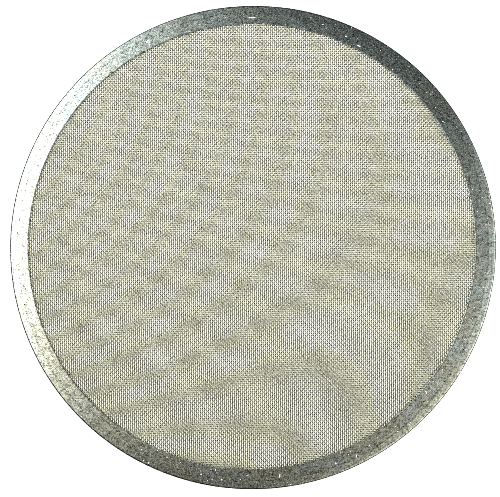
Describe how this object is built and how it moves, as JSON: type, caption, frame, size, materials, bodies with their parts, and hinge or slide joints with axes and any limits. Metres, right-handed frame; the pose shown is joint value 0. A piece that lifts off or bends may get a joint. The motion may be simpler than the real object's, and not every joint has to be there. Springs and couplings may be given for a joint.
{
  "type": "soil sieve screen",
  "caption": "Flat round screen of a soil sieve: fine plain-weave wire cloth held in a folded galvanised sheet-metal rim.",
  "frame": {"origin": "centre of the screen's underside, on its axis", "axes": "+Z along the screen's axis, towards the face with the sloping lip; warp wires along Y, weft wires along X"},
  "size_m": [0.309, 0.309, 0.002],
  "materials": {
    "rim": "galvanised, dull, lightly scuffed",
    "warp_wire": "galvanised wire, pale, satin",
    "weft_wire": "galvanised wire, pale, satin"
  },
  "bodies": {
    "root": {"rim_channel": "rim", "warp_wires_01": "warp_wire", "warp_wires_02": "warp_wire", "warp_wires_03": "warp_wire", "warp_wires_04": "warp_wire", "warp_wires_05": "warp_wire", "warp_wires_06": "warp_wire", "warp_wires_07": "warp_wire", "warp_wires_08": "warp_wire", "warp_wires_09": "warp_wire", "warp_wires_10": "warp_wire", "warp_wires_11": "warp_wire", "warp_wires_12": "warp_wire", "weft_wires_01": "weft_wire", "weft_wires_02": "weft_wire", "weft_wires_03": "weft_wire", "weft_wires_04": "weft_wire", "weft_wires_05": "weft_wire", "weft_wires_06": "weft_wire", "weft_wires_07": "weft_wire", "weft_wires_08": "weft_wire", "weft_wires_09": "weft_wire", "weft_wires_10": "weft_wire", "weft_wires_11": "weft_wire", "weft_wires_12": "weft_wire"}
  },
  "joints": []
}
